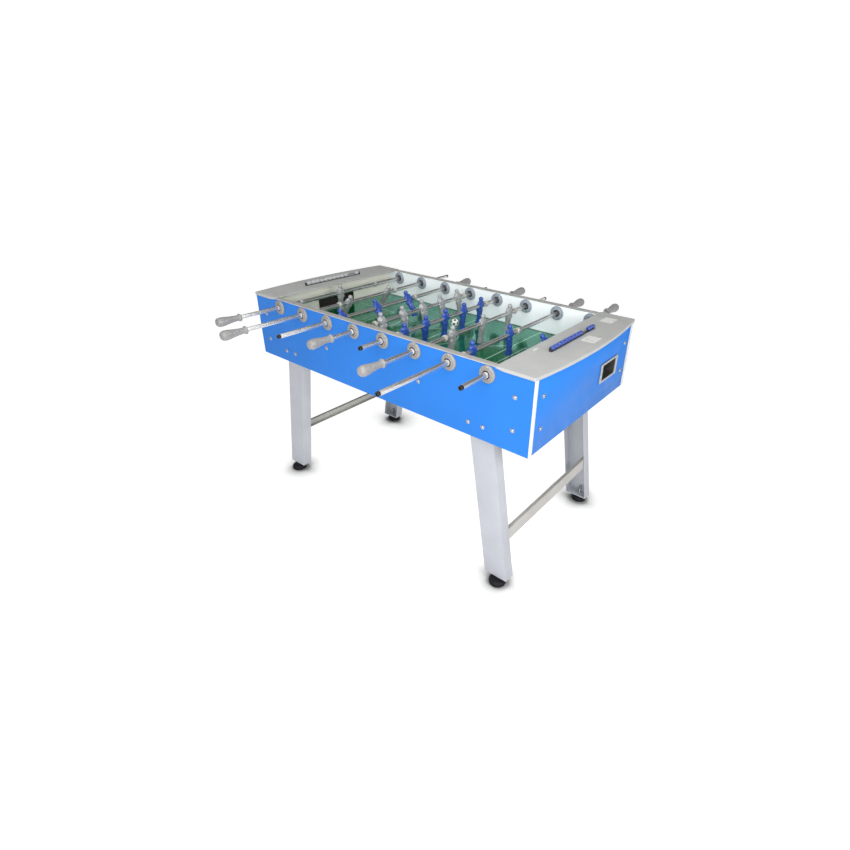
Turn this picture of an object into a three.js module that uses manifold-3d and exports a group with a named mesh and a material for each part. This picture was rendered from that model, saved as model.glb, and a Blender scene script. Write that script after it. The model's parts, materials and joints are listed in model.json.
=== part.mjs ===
// Foosball table: a blue laminate cabinet on four splayed channel legs, with eight through-rods.
//
// Frame: millimetres, +Z up, origin on the floor at the centre of the four feet. X runs along the
// pitch from goal to goal, Y runs along the rods, and the near side is -Y.
// Grey players have their handles on the near side and play towards +X, blue ones the reverse.

import * as THREE from 'three';
import { mergeVertices } from 'three/addons/utils/BufferGeometryUtils.js';
import Module from 'manifold-3d';

const wasm = await Module();
wasm.setup();

// ---------------------------------------------------------------- driving dimensions

const GAP = 0.3; // clearance between pieces that touch
const SIDES = { housing: 16, bush: 14, rod: 10, grip: 9, bead: 8, foot: 12 }; // round pieces' facets

const CABINET = { length: 1380, width: 730, bottom: 600, top: 866.2, board: 20 };
const PITCH = { top: 743, thickness: 18, halfLength: 610 };
const GOAL = { wall: 15, wallBottom: 690, halfWidth: 105, height: 68 };

const ROD = { count: 8, spacing: 150, z: 836, radius: 8, inGrip: 60 };
const STOP = { radius: 14, length: 14 };
const HOUSING = { radius: 29.5, outside: 10, inside: 6.5, bore: 14 };
const FAR_BORE = ROD.radius + 0.4;
const PLAYER = { head: 39, foot: 79, width: 34, hub: 10.5 };
const GRIP = { length: 100, bore: 62 };

// Each kind of row: players on the rod, their spacing, and how far the rod reaches from the middle
// of the row to the handle's tip, to the bare end and to the centre of its stop collars.
const KINDS = {
  goalkeeper: { players: 1, spacing: 0, toTip: 600, toEnd: 498, toStop: 217 },
  defence: { players: 2, spacing: 228, toTip: 700, toEnd: 555, toStop: 165 },
  midfield: { players: 5, spacing: 118, toTip: 582, toEnd: 455, toStop: 274 },
  attack: { players: 3, spacing: 187, toTip: 634, toEnd: 484, toStop: 228 },
};

// The eight rods from -X to +X: the team, the kind of row, how far the row stands off the middle
// of the pitch at rest (mm along Y), and how far it leans about +Y (degrees).
const ROWS = [
  { team: 'grey', kind: 'goalkeeper', offset: -45, lean: 4 },
  { team: 'grey', kind: 'defence', offset: -13, lean: 28 },
  { team: 'blue', kind: 'attack', offset: -100, lean: -30 },
  { team: 'grey', kind: 'midfield', offset: 15, lean: -14 },
  { team: 'blue', kind: 'midfield', offset: -19, lean: 5 },
  { team: 'grey', kind: 'attack', offset: 24, lean: 4 },
  { team: 'blue', kind: 'defence', offset: -127, lean: -1 },
  { team: 'blue', kind: 'goalkeeper', offset: -2, lean: -45 },
];

const END_TOP = { inner: 553, corner: 693.5, middle: 720, halfWidth: 368.5, top: 872, bottom: 861 };
const END_TOP_SHELL = { plate: 5.5, skirt: 3.2 };
const RAIL = { width: 23, thickness: 3.8 };

const COUNTER = { x: 620, halfLength: 154.5, post: 5, base: 1.8, width: 17, rod: 1.6, z: 881.9 };
const BEAD = { radius: 7.5, pitch: 24.2, neck: 4.5 };
const BEADS = { right: { low: 9, high: 2 }, left: { low: 10, high: 1 } };

const TRAY = { width: 41, wall: 2, depth: 28, low: 698, slope: 0.095, start: -112, end: 240 };
const OUTLET = { from: 122, to: 240, bottom: 692.5, top: 757.5, wall: 2.5 };
const BEZEL = { from: 110, to: 252, bottom: 687, top: 763, thickness: 4 };

const LEG = { width: 95, depth: 45, sheet: 3, top: 700, bottom: 35, atTop: 483, atBottom: 593, plate: 4 };
const CROSSBAR = { bottom: 190, height: 42, depth: 14, sheet: 2.5 };
const FOOT = { x: 597, y: 334, radius: 33, pad: 22, nut: 11, nutTop: 34.7, stud: 5.8, studTop: 70 };

const BALL = { radius: 17, x: -7, y: 147 };

// ---------------------------------------------------------------- materials

function paint(color, roughness, metalness = 0) {
  return new THREE.MeshStandardMaterial({ color, roughness, metalness });
}

const COLOURS = {
  blueLaminate: () => paint(0x3d8cf0, 0.45),
  whiteBoard: () => paint(0xe9ecef, 0.5),
  pitch: () => paint(0x1f6b46, 0.15),
  greyMoulding: () => paint(0xbdbdb8, 0.5),
  aluminium: () => paint(0xb9babb, 0.35, 0.9),
  silverPaint: () => paint(0xc8ccd6, 0.4, 0.3),
  chrome: () => paint(0xd4d6d8, 0.15, 1),
  greyPlastic: () => paint(0x8c8c8c, 0.5),
  bluePlayer: () => paint(0x2a3fb0, 0.35),
  greyPlayer: () => paint(0x8f9494, 0.4),
  black: () => paint(0x17181a, 0.6),
  ball: () => paint(0xf2f2f0, 0.5),
};

// ---------------------------------------------------------------- solids

// A closed three.js geometry as a manifold solid: shared vertices merged, empty triangles dropped.
function solid(geometry) {
  const bare = geometry.clone();
  bare.deleteAttribute('normal');
  bare.deleteAttribute('uv');
  const merged = mergeVertices(bare, 1e-4);
  const index = merged.index.array;
  const triangles = [];
  for (let i = 0; i < index.length; i += 3) {
    const [a, b, c] = index.slice(i, i + 3);
    if (a !== b && b !== c && c !== a) triangles.push(a, b, c);
  }
  return new wasm.Manifold(new wasm.Mesh({
    numProp: 3,
    vertProperties: Float32Array.from(merged.attributes.position.array),
    triVerts: Uint32Array.from(triangles),
  }));
}

function geometryOf(manifold) {
  const mesh = manifold.getMesh();
  const geometry = new THREE.BufferGeometry();
  geometry.setAttribute('position', new THREE.BufferAttribute(mesh.vertProperties, 3));
  geometry.setIndex(new THREE.BufferAttribute(mesh.triVerts, 1));
  geometry.computeVertexNormals();
  return geometry;
}

function join(geometries) {
  return geometries.map(solid).reduce((whole, piece) => whole.add(piece));
}

function cut(whole, geometries) {
  return geometries.map(solid).reduce((left, piece) => left.subtract(piece), whole);
}

// A box from its low and high limits on X, Y and Z.
function box([x0, x1], [y0, y1], [z0, z1]) {
  const geometry = new THREE.BoxGeometry(x1 - x0, y1 - y0, z1 - z0);
  return geometry.translate((x0 + x1) / 2, (y0 + y1) / 2, (z0 + z1) / 2);
}

// A round bar along Y from y0 to y1, with its axis at x, z.
function barY(radius, [y0, y1], x, z, sides) {
  return new THREE.CylinderGeometry(radius, radius, y1 - y0, sides).translate(x, (y0 + y1) / 2, z);
}

// The cutter for a round bore along Y: the flats of its facets lie at the radius, so that
// a shaft of that radius turns in it.
function boreY(radius, span, x, z, sides) {
  return barY(radius / Math.cos(Math.PI / sides), span, x, z, sides);
}

// A turned piece about Y from [radius, y] points.
function turned(profile, sides) {
  return new THREE.LatheGeometry(profile.map(([r, y]) => new THREE.Vector2(r, y)), sides);
}

// A plan outline in X and Y raised from z0 to z1.
function raised(outline, [z0, z1], curveSegments = 14) {
  const settings = { depth: z1 - z0, bevelEnabled: false, curveSegments };
  return new THREE.ExtrudeGeometry(outline, settings).translate(0, 0, z0);
}

function outlineOf(points) {
  return new THREE.Shape(points.map(([x, y]) => new THREE.Vector2(x, y)));
}

const table = new THREE.Group();

function addMesh(name, geometry, material, parent = table) {
  const mesh = new THREE.Mesh(geometry, material);
  mesh.name = name;
  parent.add(mesh);
  return mesh;
}

const half = { length: CABINET.length / 2, width: CABINET.width / 2 };
const rodX = (index) => (index - (ROD.count - 1) / 2) * ROD.spacing;
const inside = half.width - CABINET.board;

// ---------------------------------------------------------------- cabinet

// A side board with its eight rod housings pressed in. The near one is made, on -Y, with the
// wide bores of the turning bushes; the far one has bores that only clear the rods.
function sidePanel(bore) {
  const outer = -half.width;
  const inner = -inside;
  const board = box([-half.length, half.length], [outer, inner], [CABINET.bottom, CABINET.top]);
  const through = [outer - HOUSING.outside, inner + HOUSING.inside];
  const housings = ROWS.map((row, i) => (
    barY(HOUSING.radius, through, rodX(i), ROD.z, SIDES.housing)));
  const long = [through[0] - 1, through[1] + 1];
  const bores = ROWS.map((row, i) => boreY(bore, long, rodX(i), ROD.z, SIDES.bush));
  return geometryOf(cut(join([board, ...housings]), bores));
}

// The right-hand end board, with the ball outlet cut through it.
function endPanel() {
  const board = box([half.length - CABINET.board, half.length], [-inside + GAP, inside - GAP],
    [CABINET.bottom, CABINET.top]);
  const hole = box([half.length - CABINET.board - 1, half.length + 1],
    [OUTLET.from - 0.5, OUTLET.to + 0.5], [OUTLET.bottom - 0.5, OUTLET.top + 0.5]);
  return geometryOf(cut(solid(board), [hole]));
}

// The white wall behind the right-hand goalkeeper, with the goal mouth.
function goalWall() {
  const x = [PITCH.halfLength, PITCH.halfLength + GOAL.wall];
  const wall = box(x, [-inside + GAP, inside - GAP], [GOAL.wallBottom, CABINET.top]);
  const mouth = box([x[0] - 1, x[1] + 1], [-GOAL.halfWidth, GOAL.halfWidth],
    [PITCH.top, PITCH.top + GOAL.height]);
  return geometryOf(cut(solid(wall), [mouth]));
}

function playfield() {
  const x = PITCH.halfLength - GAP;
  const y = inside - GAP;
  return box([-x, x], [-y, y], [PITCH.top - PITCH.thickness, PITCH.top]);
}

function sideRail() {
  const middle = -half.width + CABINET.board / 2;
  const z = CABINET.top + GAP;
  const x = END_TOP.inner - GAP;
  return box([-x, x], [middle - RAIL.width / 2, middle + RAIL.width / 2], [z, z + RAIL.thickness]);
}

// Plan outline of the right-hand end top, drawn in by inset: a straight inner edge and an outer
// edge that is one shallow arc through both corners.
function endTopOutline(inset, inner) {
  const rise = END_TOP.middle - END_TOP.corner;
  const radius = (END_TOP.halfWidth ** 2 + rise ** 2) / (2 * rise);
  const centre = END_TOP.middle - radius;
  const y = END_TOP.halfWidth - inset;
  const sweep = Math.asin(y / (radius - inset));
  const outline = new THREE.Shape();
  outline.moveTo(inner, -y);
  outline.lineTo(centre + (radius - inset) * Math.cos(sweep), -y);
  outline.absarc(centre, 0, radius - inset, -sweep, sweep, false);
  outline.lineTo(inner, y);
  return outline;
}

// The right-hand end top: a moulded lid, one plate with a skirt round its three outer sides.
function endTop() {
  const plateBottom = END_TOP.top - END_TOP_SHELL.plate;
  const lid = raised(endTopOutline(0, END_TOP.inner), [END_TOP.bottom, END_TOP.top]);
  const hollow = raised(endTopOutline(END_TOP_SHELL.skirt, END_TOP.inner - 10),
    [END_TOP.bottom - 1, plateBottom]);
  return geometryOf(cut(solid(lid), [hollow]));
}

// The ball tray of the right-hand goal: a sloping trough behind the goal, an outlet box through
// the end board, and the bezel outside it.
function ballTray() {
  const x0 = PITCH.halfLength + GOAL.wall + 2;
  const x1 = x0 + TRAY.width;
  const length = TRAY.end - TRAY.start;
  const section = outlineOf([
    [x0, 0], [x1, 0], [x1, TRAY.depth], [x1 - TRAY.wall, TRAY.depth],
    [x1 - TRAY.wall, TRAY.wall], [x0 + TRAY.wall, TRAY.wall],
    [x0 + TRAY.wall, TRAY.depth], [x0, TRAY.depth],
  ]);
  const trough = raised(section, [0, length]).rotateX(Math.PI / 2).translate(0, TRAY.end, 0);
  const fall = new THREE.Matrix4().makeShear(0, 0, 0, -TRAY.slope, 0, 0);
  trough.applyMatrix4(fall).translate(0, 0, TRAY.low + TRAY.slope * TRAY.end);

  const face = half.length + GAP;
  const outlet = box([x1 - TRAY.wall, face + BEZEL.thickness], [OUTLET.from, OUTLET.to],
    [OUTLET.bottom, OUTLET.top]);
  const stopWall = box([x0, x1], [OUTLET.to - OUTLET.wall, OUTLET.to],
    [TRAY.low, OUTLET.top]);
  const bezel = box([face, face + BEZEL.thickness], [BEZEL.from, BEZEL.to],
    [BEZEL.bottom, BEZEL.top]);
  const way = box([x1 - TRAY.wall - 1, face + BEZEL.thickness + 1],
    [OUTLET.from + OUTLET.wall, OUTLET.to - OUTLET.wall],
    [OUTLET.bottom + OUTLET.wall, OUTLET.top - OUTLET.wall]);
  return geometryOf(cut(join([trough, outlet, stopWall, bezel]), [way]));
}

// ---------------------------------------------------------------- legs

const lean = (LEG.atBottom - LEG.atTop) / (LEG.top - LEG.bottom);

// Moves a piece drawn upright at the leg's middle line onto the splayed line, level cuts staying level.
function splayed(geometry) {
  const shear = new THREE.Matrix4().makeShear(0, 0, 0, 0, -lean, 0);
  return geometry.applyMatrix4(shear).translate(LEG.atTop + lean * LEG.top, 0, 0);
}

// The leg under the corner at +X, -Y: a folded channel open to the inside, with a foot plate.
function leg() {
  const w = LEG.width / 2;
  const back = -inside + GAP;
  const open = back + LEG.depth;
  const channel = outlineOf([
    [-w, back], [w, back], [w, open], [w - LEG.sheet, open], [w - LEG.sheet, back + LEG.sheet],
    [-w + LEG.sheet, back + LEG.sheet], [-w + LEG.sheet, open], [-w, open],
  ]);
  const plate = box([-w + 1, w - 1], [back + 1, open], [LEG.bottom, LEG.bottom + LEG.plate]);
  const folded = join([
    splayed(raised(channel, [LEG.bottom, LEG.top])),
    splayed(plate),
  ]);
  const hole = boreY(FOOT.stud + GAP, [-LEG.plate * 2, LEG.plate * 2], 0, 0, SIDES.foot);
  hole.rotateX(Math.PI / 2).translate(FOOT.x, -FOOT.y, LEG.bottom);
  return geometryOf(cut(folded, [hole]));
}

// The crossbar between the two right-hand legs: a channel open to the inside, against their
// outer flanges.
function crossbar() {
  const x = LEG.width / 2 - LEG.sheet - GAP;
  const y = inside - GAP - LEG.sheet - GAP;
  const z = [CROSSBAR.bottom, CROSSBAR.bottom + CROSSBAR.height];
  const bar = box([x - CROSSBAR.depth, x], [-y, y], z);
  const hollow = box([x - CROSSBAR.depth - 1, x - CROSSBAR.sheet], [-y - 1, y + 1],
    [z[0] + CROSSBAR.sheet, z[1] - CROSSBAR.sheet]);
  return geometryOf(cut(solid(splayed(bar)), [splayed(hollow)]));
}

// A levelling foot, upright on the origin: rubber pad, lock nut and threaded stud.
function levellingFoot() {
  const profile = [
    [0, 0], [FOOT.radius - 3, 0], [FOOT.radius, 5], [FOOT.radius, 14], [FOOT.radius - 7, FOOT.pad],
    [FOOT.nut, FOOT.pad], [FOOT.nut, FOOT.nutTop], [FOOT.stud, FOOT.nutTop],
    [FOOT.stud, FOOT.studTop], [0, FOOT.studTop],
  ];
  return geometryOf(solid(turned(profile, SIDES.foot).rotateX(Math.PI / 2)));
}

// ---------------------------------------------------------------- score counters

// One bead or a run of beads on the counter's rod, from y0 upwards, touching end to end.
function beadRun(count, y0) {
  const profile = [[0, y0 + 0.2]];
  for (let i = 0; i < count; i += 1) {
    const low = y0 + i * BEAD.pitch;
    profile.push([BEAD.neck, low + 0.2], [BEAD.radius, low + 3], [BEAD.radius, low + BEAD.pitch - 3],
      [BEAD.neck, low + BEAD.pitch - 0.2]);
  }
  profile.push([0, y0 + count * BEAD.pitch - 0.2]);
  return turned(profile, SIDES.bead);
}

// The fixed part of a counter, drawn on the Y axis: base strip, two posts, rod and the low beads.
function counter(beads) {
  const x = COUNTER.width / 2;
  const end = COUNTER.halfLength + COUNTER.post;
  const z0 = END_TOP.top + GAP - COUNTER.z;
  const posts = [-1, 1].map((side) => box([-x + 4, x - 4],
    side < 0 ? [-end, -COUNTER.halfLength] : [COUNTER.halfLength, end], [z0, BEAD.neck]));
  return geometryOf(join([
    box([-x, x], [-end, end], [z0, z0 + COUNTER.base]),
    ...posts,
    barY(COUNTER.rod, [-end + 1, end - 1], 0, 0, SIDES.bead),
    beadRun(beads.low, -COUNTER.halfLength),
  ]));
}

// The beads already pushed to the far end, which slide on the rod.
function slidingBeads(beads) {
  const run = beadRun(beads.high, COUNTER.halfLength - beads.high * BEAD.pitch);
  const bore = boreY(COUNTER.rod + GAP, [0, COUNTER.halfLength + 1], 0, 0, SIDES.bead);
  return geometryOf(cut(solid(run), [bore]));
}

function addCounter(side, sign, beads) {
  const place = new THREE.Group();
  place.position.set(sign * COUNTER.x, 0, COUNTER.z);
  table.add(place);
  addMesh(`score_counter_${side}`, counter(beads), COLOURS.black(), place);
  addMesh(`score_beads_${side}`, slidingBeads(beads), COLOURS.bluePlayer(), place);
}

// ---------------------------------------------------------------- rods

// Every rod is drawn along Y with the middle of its row at the origin and its handle at +Y, and
// its players face -X.

function rod(kind) {
  const ring = (y, side) => [[ROD.radius, y - side], [STOP.radius, y - side],
    [STOP.radius, y + side], [ROD.radius, y + side]];
  const end = kind.toTip - GRIP.length + ROD.inGrip;
  const profile = [
    [0, -kind.toEnd], [ROD.radius, -kind.toEnd],
    ...ring(-kind.toStop, STOP.length / 2), ...ring(kind.toStop, STOP.length / 2),
    [ROD.radius, end], [0, end],
  ];
  return geometryOf(solid(turned(profile, SIDES.rod)));
}

// One player: a flat-sided figure with a wedge foot, and a round head.
function player(y) {
  const figure = outlineOf([
    [-7, 24], [-12, 8], [-11, -14], [-7, -32], [-6, -58], [-12, -PLAYER.foot + 8],
    [-12, -PLAYER.foot], [10, -PLAYER.foot], [7, -58], [8, -32], [12, -14], [12, 8], [7, 24],
  ]);
  const w = PLAYER.width / 2;
  const body = raised(figure, [-w, w]).rotateX(Math.PI / 2).translate(0, y, 0);
  const head = new THREE.SphereGeometry(9.5, 8, 6).rotateX(Math.PI / 2);
  return [body, head.translate(0, y, PLAYER.head - 9.5)];
}

// The players of one rod, joined by the sleeve that spaces them.
function players(kind) {
  const first = (kind.players - 1) * kind.spacing / 2;
  const figures = [];
  for (let i = 0; i < kind.players; i += 1) figures.push(...player(i * kind.spacing - first));
  const reach = first + PLAYER.width / 2 + 3;
  const sleeve = barY(PLAYER.hub, [-reach, reach], 0, 0, SIDES.rod);
  const bore = boreY(ROD.radius + GAP, [-reach - 1, reach + 1], 0, 0, SIDES.rod);
  return geometryOf(cut(join([sleeve, ...figures]), [bore]));
}

// The pear-shaped handle, with its collar towards the table.
function grip(kind) {
  const y = kind.toTip - GRIP.length;
  const profile = [
    [0, y], [14, y], [15.5, y + 3], [15, y + 8], [11.5, y + 14], [14, y + 40],
    [18.5, y + 72], [18, y + 86], [10, y + 98], [0, y + GRIP.length],
  ];
  const bore = boreY(ROD.radius + GAP, [y - 1, y + GRIP.bore], 0, 0, SIDES.rod);
  return geometryOf(cut(solid(turned(profile, SIDES.grip)), [bore]));
}

// The bush that turns with rod index in the near housing; the rod slides through it.
function bush(index) {
  const radius = HOUSING.bore - GAP;
  const y0 = -half.width - HOUSING.outside;
  const y1 = -inside + HOUSING.inside;
  const ring = solid(barY(radius, [y0, y1], rodX(index), ROD.z, SIDES.bush));
  const bore = boreY(ROD.radius + GAP, [y0 - 1, y1 + 1], rodX(index), ROD.z, SIDES.rod);
  return geometryOf(cut(ring, [bore]));
}

function addRow(row, index) {
  const kind = KINDS[row.kind];
  const number = index + 1;
  const place = new THREE.Group();
  place.position.set(rodX(index), row.offset, ROD.z);
  place.rotation.y = THREE.MathUtils.degToRad(row.lean);
  const facing = new THREE.Group();
  facing.rotation.z = row.team === 'grey' ? Math.PI : 0;
  place.add(facing);
  table.add(place);
  const plastic = row.team === 'grey' ? COLOURS.greyPlayer() : COLOURS.bluePlayer();
  addMesh(`rod_${number}`, rod(kind), COLOURS.chrome(), facing);
  addMesh(`players_${number}`, players(kind), plastic, facing);
  addMesh(`handle_${number}`, grip(kind), COLOURS.greyPlastic(), facing);
  addMesh(`bush_${number}`, bush(index), COLOURS.black());
}

// ---------------------------------------------------------------- the table

function turnedAbout(mesh, angle) {
  mesh.rotation.z = angle;
  return mesh;
}

function addCabinet() {
  addMesh('side_panel_near', sidePanel(HOUSING.bore), COLOURS.blueLaminate());
  turnedAbout(addMesh('side_panel_far', sidePanel(FAR_BORE), COLOURS.blueLaminate()), Math.PI);
  addMesh('side_rail_near', sideRail(), COLOURS.aluminium());
  turnedAbout(addMesh('side_rail_far', sideRail(), COLOURS.aluminium()), Math.PI);
  addMesh('playfield', playfield(), COLOURS.pitch());
  for (const [side, angle] of [['right', 0], ['left', Math.PI]]) {
    turnedAbout(addMesh(`end_panel_${side}`, endPanel(), COLOURS.blueLaminate()), angle);
    turnedAbout(addMesh(`goal_wall_${side}`, goalWall(), COLOURS.whiteBoard()), angle);
    turnedAbout(addMesh(`end_top_${side}`, endTop(), COLOURS.greyMoulding()), angle);
    turnedAbout(addMesh(`ball_tray_${side}`, ballTray(), COLOURS.black()), angle);
    turnedAbout(addMesh(`crossbar_${side}`, crossbar(), COLOURS.silverPaint()), angle);
  }
}

function addLegs() {
  for (const [side, x] of [['right', 1], ['left', -1]]) {
    for (const [edge, y] of [['near', 1], ['far', -1]]) {
      const name = `${edge}_${side}`;
      const geometry = mirrored(leg(), x, y);
      addMesh(`leg_${name}`, geometry, COLOURS.silverPaint());
      const foot = addMesh(`foot_${name}`, levellingFoot(), COLOURS.black());
      foot.position.set(x * FOOT.x, -y * FOOT.y, 0);
    }
  }
}

// The same piece mirrored in X and Y where the sign is -1, with its faces still pointing out.
function mirrored(geometry, x, y) {
  geometry.scale(x, y, 1);
  if (x * y < 0) {
    const index = geometry.index.array;
    for (let i = 0; i < index.length; i += 3) {
      [index[i + 1], index[i + 2]] = [index[i + 2], index[i + 1]];
    }
  }
  geometry.computeVertexNormals();
  return geometry;
}

function addBall() {
  const ball = new THREE.SphereGeometry(BALL.radius, 10, 8);
  const mesh = addMesh('ball', geometryOf(solid(ball)), COLOURS.ball());
  mesh.position.set(BALL.x, BALL.y, PITCH.top + GAP + BALL.radius);
}

addCabinet();
addLegs();
ROWS.forEach(addRow);
addCounter('right', 1, BEADS.right);
addCounter('left', -1, BEADS.left);
addBall();

export default table;
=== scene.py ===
import json
import math

import bmesh
import bpy
from mathutils import Matrix, Vector


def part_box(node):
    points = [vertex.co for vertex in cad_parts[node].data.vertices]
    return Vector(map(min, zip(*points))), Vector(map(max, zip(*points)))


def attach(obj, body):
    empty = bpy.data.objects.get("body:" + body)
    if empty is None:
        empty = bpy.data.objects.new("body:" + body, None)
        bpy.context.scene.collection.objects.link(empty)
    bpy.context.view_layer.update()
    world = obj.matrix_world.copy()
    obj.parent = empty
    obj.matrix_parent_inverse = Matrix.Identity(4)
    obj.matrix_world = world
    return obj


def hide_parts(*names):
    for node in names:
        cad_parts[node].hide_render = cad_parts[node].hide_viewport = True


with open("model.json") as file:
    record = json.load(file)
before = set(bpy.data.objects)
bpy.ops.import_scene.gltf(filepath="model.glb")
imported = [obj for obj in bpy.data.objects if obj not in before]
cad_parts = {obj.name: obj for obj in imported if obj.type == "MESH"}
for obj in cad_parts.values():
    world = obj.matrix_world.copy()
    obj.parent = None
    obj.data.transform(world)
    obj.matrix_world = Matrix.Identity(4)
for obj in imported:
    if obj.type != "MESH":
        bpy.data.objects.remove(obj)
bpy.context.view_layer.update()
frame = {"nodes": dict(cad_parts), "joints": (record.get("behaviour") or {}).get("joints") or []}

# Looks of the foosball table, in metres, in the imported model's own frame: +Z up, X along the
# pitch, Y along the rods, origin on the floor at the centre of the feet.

# ---------------------------------------------------------------- driving dimensions

BOARD = 0.020                       # thickness of the side and end boards
HALF_LENGTH, HALF_WIDTH = 0.690, 0.365
BOARD_BOTTOM, BOARD_TOP = 0.600, 0.8662
PITCH_TOP, PITCH_HALF = 0.743, 0.6097
SHEET = 0.004                       # clear sheet over the printed pitch
ROD_R = 0.008
HUB_R = 0.0105                      # the players' hubs round the rod
HOUSING_R, HOUSING_BORE = 0.0295, 0.014
STOP_R, STOP_LENGTH = 0.0122, 0.014
GRIP_LENGTH = 0.100
END_TOP_Z = 0.872
BEAD_R, BEAD_PITCH = 0.0081, 0.0242

# The rods from -X to +X: the players' team, how many, their spacing, how far the stops stand
# from the middle of the row, and how far the row leans about +Y (degrees).
ROWS = [
    ("grey", 1, 0.000, 0.217, 4),
    ("grey", 2, 0.228, 0.165, 28),
    ("blue", 3, 0.187, 0.228, -30),
    ("grey", 5, 0.118, 0.274, -14),
    ("blue", 5, 0.118, 0.274, 5),
    ("grey", 3, 0.187, 0.228, 4),
    ("blue", 2, 0.228, 0.165, -1),
    ("blue", 1, 0.000, 0.217, -45),
]

NUMBERS = range(1, len(ROWS) + 1)

rod_joint = {j["child"]: j for j in frame["joints"] if j["type"] == "hinge"}
ROD_Z = rod_joint["bush_1"]["pos_m"][2]


def rod_x(number):
    return rod_joint[f"bush_{number}"]["pos_m"][0]


# ---------------------------------------------------------------- materials

def set_range(node, *numbers):
    """Gives a Map Range node its range: from the first two numbers, to the last two."""
    for key, number in zip(("From Min", "From Max", "To Min", "To Max"), numbers):
        node.inputs[key].default_value = number


class Shader:
    """A Principled material whose pattern comes from procedural nodes in object coordinates."""

    def __init__(self, name, roughness=0.5, metallic=0.0, coat=0.0, specular=0.5):
        self.material = bpy.data.materials.new(name)
        self.material.use_nodes = True
        self.tree = self.material.node_tree
        self.bsdf = self.tree.nodes["Principled BSDF"]
        self.bsdf.inputs["Roughness"].default_value = roughness
        self.bsdf.inputs["Metallic"].default_value = metallic
        self.bsdf.inputs["Coat Weight"].default_value = coat
        self.bsdf.inputs["Coat Roughness"].default_value = 0.1
        self.bsdf.inputs["Specular IOR Level"].default_value = specular
        self.place = self.node("ShaderNodeTexCoord").outputs["Object"]

    def node(self, kind, **settings):
        node = self.tree.nodes.new(kind)
        for key, value in settings.items():
            setattr(node, key, value)
        return node

    def link(self, source, target):
        self.tree.links.new(source, target)

    def noise(self, scale, detail=3.0, stretch=(1, 1, 1)):
        """Noise of about that many patches to the metre, stretched along the axes."""
        mapping = self.node("ShaderNodeMapping")
        mapping.inputs["Scale"].default_value = stretch
        self.link(self.place, mapping.inputs["Vector"])
        texture = self.node("ShaderNodeTexNoise")
        texture.inputs["Scale"].default_value = scale
        texture.inputs["Detail"].default_value = detail
        self.link(mapping.outputs["Vector"], texture.inputs["Vector"])
        return texture.outputs["Fac"]

    def spread(self, value, low, high, start=0.3, end=0.7):
        """The value from start to end, spread from low to high."""
        node = self.node("ShaderNodeMapRange")
        set_range(node, start, end, low, high)
        self.link(value, node.inputs["Value"])
        return node.outputs["Result"]

    def mix(self, share, first, second):
        """A colour between two, each a colour or a socket."""
        node = self.node("ShaderNodeMix", data_type="RGBA")
        for socket, value in ((node.inputs[6], first), (node.inputs[7], second)):
            if isinstance(value, bpy.types.NodeSocket):
                self.link(value, socket)
            else:
                socket.default_value = (*value, 1)
        self.link(share, node.inputs[0])
        return node.outputs[2]

    def colour(self, source):
        self.link(source, self.bsdf.inputs["Base Color"])

    def bump(self, height, strength, distance=0.0005):
        node = self.node("ShaderNodeBump")
        node.inputs["Strength"].default_value = strength
        node.inputs["Distance"].default_value = distance
        self.link(height, node.inputs["Height"])
        self.link(node.outputs["Normal"], self.bsdf.inputs["Normal"])

    def finish(self, colour, vary=0.10, patch=9.0, grain=900.0, bump=0.15, rough=None,
               stretch=(1, 1, 1), depth=0.0003):
        """The common finish: broad colour variation, roughness that follows finer patches, and a
        fine grain in the surface."""
        low = tuple(c * (1 - vary) for c in colour)
        high = tuple(min(1, c * (1 + vary)) for c in colour)
        self.colour(self.mix(self.spread(self.noise(patch, 4, stretch), 0, 1), low, high))
        if rough:
            self.link(self.spread(self.noise(patch * 7, 3, stretch), *rough),
                      self.bsdf.inputs["Roughness"])
        self.bump(self.noise(grain, 2, stretch), bump, depth)
        return self.material


def finished(name, colour, rough, metallic=0.0, coat=0.0, specular=0.5, **pattern):
    shader = Shader(name, metallic=metallic, coat=coat, specular=specular)
    return shader.finish(colour, rough=rough, **pattern)


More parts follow.
